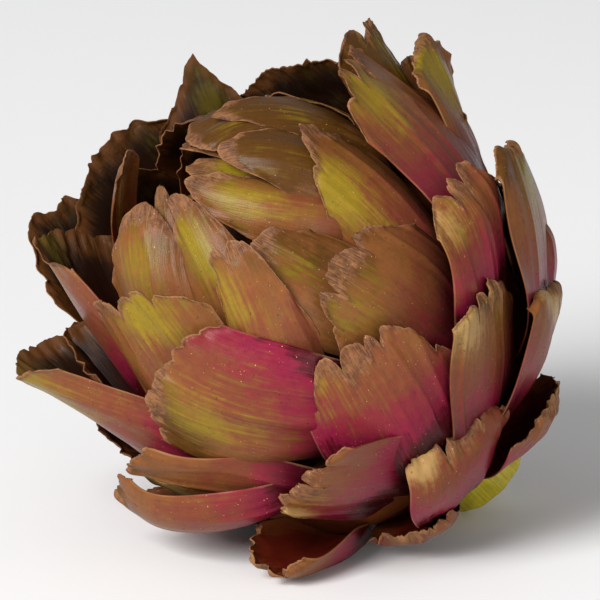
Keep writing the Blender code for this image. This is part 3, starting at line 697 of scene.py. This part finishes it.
def turned(profile, sides, rows, ribs=0, rib_depth=0.0, shift=0.0):
    """Points, faces and numbers of a profile turned about the head's line: radius times the cosine
    and sine of the angle. The radius is a little less between the ribs, which fade out towards the
    line. The two poles are one point each, joined to the nearest ring by triangles."""
    radius, height = np.array(profile, float).T
    length = np.concatenate([[0], np.cumsum(np.hypot(np.diff(radius), np.diff(height)))])
    step = np.unique(np.concatenate([length, np.linspace(0, length[-1], rows)]))[1:-1]
    angle = np.linspace(0, 2 * math.pi, sides, endpoint=False)
    ring_radius = np.interp(step, length, radius)[:, None]
    faded = np.clip(ring_radius / radius.max(), 0, 1) ** RIB_FADE
    ring_radius = ring_radius - rib_depth * (0.5 - 0.5 * np.cos(ribs * angle)) * faded
    ring_height = np.interp(step, length, height)[:, None] + 0 * angle
    circles = np.stack([ring_radius * np.cos(angle), ring_radius * np.sin(angle) + shift, ring_height], -1)
    poles = np.array(((0, shift, height[0]), (0, shift, height[-1])))
    points = np.concatenate([circles.reshape(-1, 3), poles])
    number = np.arange(len(step) * sides).reshape(len(step), sides)
    following = np.roll(number, -1, 1)
    sides_faces = np.stack([number[:-1], number[1:], following[1:], following[:-1]], -1).reshape(-1, 4)
    top = np.stack([number[0], following[0], np.full(sides, number.size)], -1)
    bottom = np.stack([following[-1], number[-1], np.full(sides, number.size + 1)], -1)
    faces = sides_faces.tolist() + top.tolist() + bottom.tolist()
    along = np.concatenate([np.repeat(step, sides), [0, length[-1]]])
    around = np.concatenate([np.tile(angle, len(step)), [0, 0]])
    out = np.concatenate([np.repeat(np.interp(step, length, radius), sides), [0, 0]])
    values = {"fibre_x": around * radius.max(), "fibre_y": along, "radius": out, "height": points[:, 2]}
    return lay_down(points), faces, values


body = add_piece("bud_body", *turned(BODY, BODY_SIDES, BODY_ROWS))
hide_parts("head")
stem = add_piece("cut_stem", *turned(STEM, STEM_SIDES, STEM_ROWS, STEM_RIBS, STEM_RIB_DEPTH, STEM_SHIFT))
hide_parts("stem")
print("body", len(body.data.polygons), "faces, stem", len(stem.data.polygons), "faces")

# %% [markdown]
# ## Shader maths that reads like maths
# A material is a graph of nodes. Drawing a long formula as nodes is tedious, so this small class wraps
# a node's output and turns ordinary operators into Math nodes.

# %% A socket that knows arithmetic
class Flow:
    """One output of a node, or of a new node that a formula makes."""

    def __init__(self, tree, socket):
        self.tree = tree
        self.socket = socket

    def node(self, kind, settings=None, **inputs):
        """A new node of a kind, with its settings made first and then its inputs by name."""
        made = self.tree.nodes.new(kind)
        for key, value in (settings or {}).items():
            if key == "stops":
                fill_ramp(made.color_ramp, value)
            else:
                setattr(made, key, value)
        for key, value in inputs.items():
            socket = made.inputs[int(key[1:])] if key[1:].isdigit() else made.inputs[key.replace("_", " ")]
            if isinstance(value, Flow):
                self.tree.links.new(value.socket, socket)
            else:
                socket.default_value = value
        return made

    def output(self, kind, name, settings=None, **inputs):
        """The named output of a new node."""
        return Flow(self.tree, self.node(kind, settings, **inputs).outputs[name])

    def math(self, operation, *values):
        """A Math node of an operation on values or links."""
        inputs = {"i%d" % place: value for place, value in enumerate(values)}
        return self.output("ShaderNodeMath", 0, {"operation": operation}, **inputs)

    def __add__(self, other):
        return self.math("ADD", self, other)

    def __radd__(self, other):
        return self.math("ADD", other, self)

    def __sub__(self, other):
        return self.math("SUBTRACT", self, other)

    def __rsub__(self, other):
        return self.math("SUBTRACT", other, self)

    def __mul__(self, other):
        return self.math("MULTIPLY", self, other)

    def __rmul__(self, other):
        return self.math("MULTIPLY", other, self)

    def __truediv__(self, other):
        return self.math("DIVIDE", self, other)

    def __rtruediv__(self, other):
        return self.math("DIVIDE", other, self)

    def between(self, low, high):
        """0 below low, 1 above high and an S-curve between them. A low over the high turns it."""
        return self.output("ShaderNodeMapRange", "Result", {"interpolation_type": "SMOOTHSTEP"},
                           Value=self, From_Min=low, From_Max=high)


def fill_ramp(ramp, stops):
    """Set the stops of a colour ramp from pairs of place and colour."""
    ramp.interpolation = "EASE"
    while len(ramp.elements) < len(stops):
        ramp.elements.new(0.5)
    for element, (place, colour) in zip(ramp.elements, stops):
        element.position = place
        element.color = colour


def shade(red, green, blue):
    """A colour as seen on a screen, from 0 to 255, as the linear light that shaders work in."""
    seen = np.array((red, green, blue)) / 255
    linear = np.where(seen <= 0.04045, seen / 12.92, ((seen + 0.055) / 1.055) ** 2.4)
    return (*linear.tolist(), 1.0)


print("crimson in linear light", [round(value, 3) for value in shade(150, 45, 75)[:3]])

# %% [markdown]
# ## Start of a material
# Each material starts the same way: the Principled shader, and a Flow to write formulas with. Patterns
# read either the map of fibres, in millimetres across and along the leaf, or the object's own
# coordinates, which are in metres.

# %% Helpers that every finish uses
def new_finish(name):
    """A material with its Principled shader, and a Flow of its node tree."""
    material = bpy.data.materials.new(name)
    material.use_nodes = True
    return material, material.node_tree.nodes["Principled BSDF"], Flow(material.node_tree, None)


def attribute(flow, name):
    """A number that the mesh carries on its points."""
    return flow.output("ShaderNodeAttribute", "Fac", {"attribute_name": name})


def fibre_map(flow, across, along):
    """The map of fibres, scaled by so many cycles a millimetre across and along the leaf."""
    place = flow.output("ShaderNodeUVMap", "UV", {"uv_map": "fibres"})
    return flow.output("ShaderNodeMapping", "Vector", Vector=place, Scale=(across, along, 1))


def body_map(flow, scale):
    """The object's own coordinates in metres, times a scale."""
    place = flow.output("ShaderNodeTexCoord", "Object")
    return flow.output("ShaderNodeMapping", "Vector", Vector=place, Scale=(scale, scale, scale))


def noise(flow, place, detail=2.0, rough=0.5):
    """Noise from 0 to 1 with a cell of one unit of the place."""
    return flow.output("ShaderNodeTexNoise", "Fac", Vector=place, Scale=1.0, Detail=detail, Roughness=rough)


def mix_colours(flow, share, first, second, kind="MIX"):
    """One colour over another by a share. The Mix node's colour sockets are its seventh and eighth."""
    settings = {"data_type": "RGBA", "blend_type": kind}
    mixed = flow.node("ShaderNodeMix", settings, i0=share, i6=first, i7=second)
    return Flow(flow.tree, mixed.outputs[2])


def raise_surface(flow, shader, height, strength, distance):
    """Feed a height in distances through a Bump node to the shader's normal."""
    bump = flow.output("ShaderNodeBump", "Normal", Height=height, Strength=strength, Distance=distance)
    flow.tree.links.new(bump.socket, shader.inputs["Normal"])


# %% [markdown]
# ## The skin of the bracts
# On a real head the colour runs along each bract: crimson and magenta where it is young at the root,
# then rose, then tan, with yellow-green patches, a cream lip at the base and a withered brown tip.
# At the roots the crimson runs on into near black, which is painted shade. The inner face is its own
# dark maroon with an olive or orange rim, darkened towards near black by painted shade. The mesh
# carries how ripe each place is, so one colour ramp serves every bract, and noise stretched along the
# fibres breaks up the borders.

# %% Colours of the bracts
# The stops below 0.14 run into near black: painted shade at the roots, over their own dark crimson.
OUTER_STOPS = (
    (0.00, shade(40, 8, 12)), (0.14, shade(76, 14, 24)), (0.28, shade(128, 26, 56)),
    (0.42, shade(128, 42, 52)), (0.56, shade(120, 62, 44)), (0.78, shade(124, 78, 42)),
    (1.00, shade(84, 54, 20)))
# Painted shade: dark crimson laid over the roots and where a bract lies close to the bud.
PAINTED_SHADE_CRIMSON = shade(50, 9, 12)
# The inner face: its own dark maroon, darkened towards near black by painted shade.
PAINTED_SHADE_INNER_STOPS = (
    (0.00, shade(92, 26, 14)), (0.40, shade(58, 16, 12)), (0.75, shade(34, 15, 9)),
    (1.00, shade(28, 16, 8)))
YELLOW_GREEN = shade(140, 122, 30)
OLIVE = shade(86, 72, 20)
WITHERED_LIGHT = shade(138, 94, 62)
WITHERED_DARK = shade(78, 48, 38)
PALE_RIM = shade(176, 128, 84)
INNER_RIM = shade(104, 62, 26)
SPOT = shade(56, 28, 20)
DUST = shade(210, 172, 112)
CREAM = shade(172, 138, 84)
print(len(OUTER_STOPS), "stops outside,", len(PAINTED_SHADE_INNER_STOPS), "inside")

# %% Noises of the bracts
# cycles a millimetre across and along the leaf
STREAKS, FINE_STREAKS, THREADS = (1.4, 0.09), (4.5, 0.35), (1.0, 1.0)
# cycles a metre
BLOTCHES, SMALL_BLOTCHES, CLUSTERS, SPOTS, DUST_GRAINS = 140.0, 700.0, 90.0, 1500.0, 3200.0
SHINE = 0.13

skin, shader, flow = new_finish("bract_skin")
shader.inputs["Specular IOR Level"].default_value = SHINE
streaks = noise(flow, fibre_map(flow, *STREAKS), 3.0)
fine_streaks = noise(flow, fibre_map(flow, *FINE_STREAKS), 2.0)
blotches = noise(flow, body_map(flow, BLOTCHES), 3.0, 0.6)
small_blotches = noise(flow, body_map(flow, SMALL_BLOTCHES), 3.0, 0.65)
print("blotches of", round(1000 / BLOTCHES, 1), "mm")

# %% [markdown]
# Layers are laid over each other as with paint. Each has a mask: a number from the mesh, roughened by
# noise and then turned into an S-curve by its two limits. A layer's share is how much of it shows where
# its mask is full.

# %% Outer face of the bracts
PATCH_SHARE, LIGHT_SHARE, CREAM_SHARE, PAINTED_SHADE_SHARE = 0.85, 0.2, 0.8, 0.85
WITHERED_SHARE, RIM_SHARE, SPOT_SHARE, DUST_SHARE = 0.8, 0.3, 0.55, 0.7

ripe = attribute(flow, "ripe") + (blotches - 0.5) * 0.5 + (streaks - 0.5) * 0.3
outer_colour = flow.output("ShaderNodeValToRGB", "Color", {"stops": OUTER_STOPS}, Fac=ripe)
patch = (attribute(flow, "green") * 1.3 + (blotches - 0.5) * 1.2 + (streaks - 0.5) * 1.6).between(0.2, 1.2)
outer_colour = mix_colours(flow, patch * PATCH_SHARE, outer_colour, YELLOW_GREEN)
light = (fine_streaks * 0.5 + small_blotches * 0.5).between(0.3, 0.7)
lighting = mix_colours(flow, light, SPOT, DUST)
outer_colour = mix_colours(flow, LIGHT_SHARE, outer_colour, lighting, "OVERLAY")
withered = (attribute(flow, "withered") * 1.3 + (small_blotches - 0.5) * 0.7
            + (streaks - 0.5) * 1.6 - 0.2).between(0.15, 0.95)
wrinkle = (fine_streaks * 0.55 + small_blotches * 0.45).between(0.36, 0.62)
withered_colour = mix_colours(flow, wrinkle, WITHERED_DARK, WITHERED_LIGHT)
cream = (attribute(flow, "cream") * 1.2 + (streaks - 0.5) + (small_blotches - 0.5) * 0.6).between(0.2, 1.0)
outer_colour = mix_colours(flow, cream * CREAM_SHARE, outer_colour, CREAM)
# Painted shade at the roots and close to the bud: the deep mask darkens them to dark crimson.
deep = (attribute(flow, "deep") + (streaks - 0.5) * 0.6 + (blotches - 0.5) * 0.5).between(0.1, 0.95)
outer_colour = mix_colours(flow, deep * PAINTED_SHADE_SHARE, outer_colour, PAINTED_SHADE_CRIMSON)
outer_colour = mix_colours(flow, withered * WITHERED_SHARE, outer_colour, withered_colour)
clusters = noise(flow, body_map(flow, CLUSTERS), 1.0)
rim = (attribute(flow, "to_edge") + (small_blotches - 0.5) * 0.7).between(0.5, 0.1)
outer_colour = mix_colours(flow, rim * clusters.between(0.4, 0.6) * RIM_SHARE, outer_colour, PALE_RIM)
spots = noise(flow, body_map(flow, SPOTS), 1.0) + (clusters - 0.5) * 0.25
outer_colour = mix_colours(flow, spots.between(0.7, 0.8) * SPOT_SHARE, outer_colour, SPOT)
dust = noise(flow, body_map(flow, DUST_GRAINS), 0.0) + (0.5 - clusters) * 0.2
outer_colour = mix_colours(flow, dust.between(0.82, 0.88) * DUST_SHARE, outer_colour, DUST)
print("outer face", len(skin.node_tree.nodes), "nodes")

# %% Inner face of the bracts
INNER_RIM_SHARE, OLIVE_SHARE = 0.6, 0.7

# Painted shade: the riper the inner face, the darker it gets, towards near black.
inner_ripe = attribute(flow, "ripe") + (blotches - 0.5) * 0.5
shaded_inner_colour = flow.output("ShaderNodeValToRGB", "Color", {"stops": PAINTED_SHADE_INNER_STOPS}, Fac=inner_ripe)
near_rim = (attribute(flow, "to_edge") + (streaks - 0.5) * 6 + (blotches - 0.5) * 6).between(5.0, 0.0)
shaded_inner_colour = mix_colours(flow, near_rim * INNER_RIM_SHARE, shaded_inner_colour, INNER_RIM)
olive = (attribute(flow, "green") * 1.2 + (blotches - 0.5) * 1.5 + (streaks - 0.5)).between(0.4, 1.2)
shaded_inner_colour = mix_colours(flow, olive * OLIVE_SHARE, shaded_inner_colour, OLIVE)
colour = mix_colours(flow, attribute(flow, "outside"), shaded_inner_colour, outer_colour)
flow.tree.links.new(colour.socket, shader.inputs["Base Color"])
print("both faces", len(skin.node_tree.nodes), "nodes")

# %% [markdown]
# Fresh skin is waxy and shines a little, withered skin hardly. From close by the skin shows fine
# crossing threads, so two sets of waves join the streaks and the wrinkles in the bump.

# %% Shine and fine relief of the bracts
WAXY_ROUGHNESS = 0.3
BUMP_STRENGTH, BUMP_HEIGHT = 0.5, 0.0002


def threads(flow, place, direction):
    """Slightly uneven waves across one direction of the map."""
    return flow.output("ShaderNodeTexWave", "Fac", {"bands_direction": direction}, Vector=place,
                       Scale=0.7, Distortion=0.6, Detail=1.0)


roughness = WAXY_ROUGHNESS + withered * 0.25 + (small_blotches - 0.5) * 0.2
roughness = roughness + (1 - attribute(flow, "outside")) * 0.1
flow.tree.links.new(roughness.socket, shader.inputs["Roughness"])
thread_map = fibre_map(flow, *THREADS)
crossing = threads(flow, thread_map, "X") + threads(flow, thread_map, "Y")
height = fine_streaks * 0.6 + crossing * 0.04 + withered * small_blotches * 2.5
raise_surface(flow, shader, height, BUMP_STRENGTH, BUMP_HEIGHT)
for piece in bract_pieces + [body]:
    piece.data.materials.append(skin)
print("bract skin", len(skin.node_tree.nodes), "nodes")

# %% [markdown]
# ## The stem
# A living stem is smooth and yellow-green, with darker strands along it. The cut is pale, with a ring of
# darker strands round the pith.

# %% Colours of the stem
STEM_LIGHT, STEM_DARK = shade(196, 178, 34), shade(146, 134, 22)
CUT_LIGHT, CUT_DARK = shade(206, 198, 140), shade(146, 120, 66)
STRANDS, MOTTLE = (1.2, 0.08), 500.0
STEM_RADIUS = 11.0
CUT_BELOW, CUT_INSIDE = (-61.6, -62.1), (10.4, 9.6)
STEM_ROUGHNESS = 0.42
STEM_BUMP_STRENGTH, STEM_BUMP_HEIGHT = 0.4, 0.0003

stem_skin, shader, flow = new_finish("stem_skin")
strands = noise(flow, fibre_map(flow, *STRANDS), 3.0)
mottle = noise(flow, body_map(flow, MOTTLE), 3.0)
side_colour = mix_colours(flow, (strands * 0.7 + mottle * 0.3).between(0.3, 0.65), STEM_DARK, STEM_LIGHT)
pith = attribute(flow, "radius") / STEM_RADIUS + (mottle - 0.5) * 0.2
cut_colour = mix_colours(flow, pith.between(0.55, 0.72) * pith.between(0.95, 0.8), CUT_LIGHT, CUT_DARK)
is_cut = attribute(flow, "height").between(*CUT_BELOW) * attribute(flow, "radius").between(*CUT_INSIDE)
stem_colour = mix_colours(flow, is_cut, side_colour, cut_colour)
flow.tree.links.new(stem_colour.socket, shader.inputs["Base Color"])
stem_roughness = STEM_ROUGHNESS + (mottle - 0.5) * 0.2 + is_cut * 0.3
flow.tree.links.new(stem_roughness.socket, shader.inputs["Roughness"])
raise_surface(flow, shader, strands + mottle * 0.5, STEM_BUMP_STRENGTH, STEM_BUMP_HEIGHT)
stem.data.materials.append(stem_skin)
print("stem skin", len(stem_skin.node_tree.nodes), "nodes")

# %% [markdown]
# ## The floor and the light
# The photograph was lit from all round with one softer, stronger side. A large lamp above and to the
# left, a weaker one to the right, and a pale sky do the same.

# %% Pale floor
FLOOR_SIZE = 6.0
FLOOR_GREY = 0.93
FLOOR_ROUGHNESS, FLOOR_SHINE = 0.9, 0.1
half_floor = FLOOR_SIZE / 2
floor_mesh = bpy.data.meshes.new("floor")
floor_mesh.from_pydata([(-half_floor, -half_floor, 0), (half_floor, -half_floor, 0),
                        (half_floor, half_floor, 0), (-half_floor, half_floor, 0)], [], [(0, 1, 2, 3)])
floor = bpy.data.objects.new("floor", floor_mesh)
bpy.context.scene.collection.objects.link(floor)
floor_finish, shader, flow = new_finish("pale_floor")
shader.inputs["Base Color"].default_value = (FLOOR_GREY, FLOOR_GREY, FLOOR_GREY, 1)
shader.inputs["Roughness"].default_value = FLOOR_ROUGHNESS
shader.inputs["Specular IOR Level"].default_value = FLOOR_SHINE
floor.data.materials.append(floor_finish)
print("floor", FLOOR_SIZE, "m")


# %% Lamps and sky
def add_lamp(name, place, aim, size, power):
    """A square lamp at a place, turned to face an aim, with its size in metres and power in watts."""
    light = bpy.data.lights.new(name, "AREA")
    light.shape = "SQUARE"
    light.size = size
    light.energy = power
    lamp = bpy.data.objects.new(name, light)
    bpy.context.scene.collection.objects.link(lamp)
    away = unit(np.array(place, float) - np.array(aim, float))
    sideways = unit(np.cross((0, 0, 1), away))
    upward = np.cross(away, sideways)
    lamp.matrix_world = placed(sideways, upward, away, place)


AIM = (0, 0, 0.05)
SKY_STRENGTH = 0.32
add_lamp("key_lamp", (-1.9, -2.5, 2.1), AIM, size=1.9, power=186.0)
add_lamp("fill_lamp", (1.2, -3.2, 0.5), AIM, size=1.5, power=33.0)
sky = bpy.data.worlds.new("sky")
sky.use_nodes = True
sky.node_tree.nodes["Background"].inputs["Color"].default_value = (1, 1, 1, 1)
sky.node_tree.nodes["Background"].inputs["Strength"].default_value = SKY_STRENGTH
bpy.context.scene.world = sky
bpy.context.scene.view_settings.view_transform = "Standard"
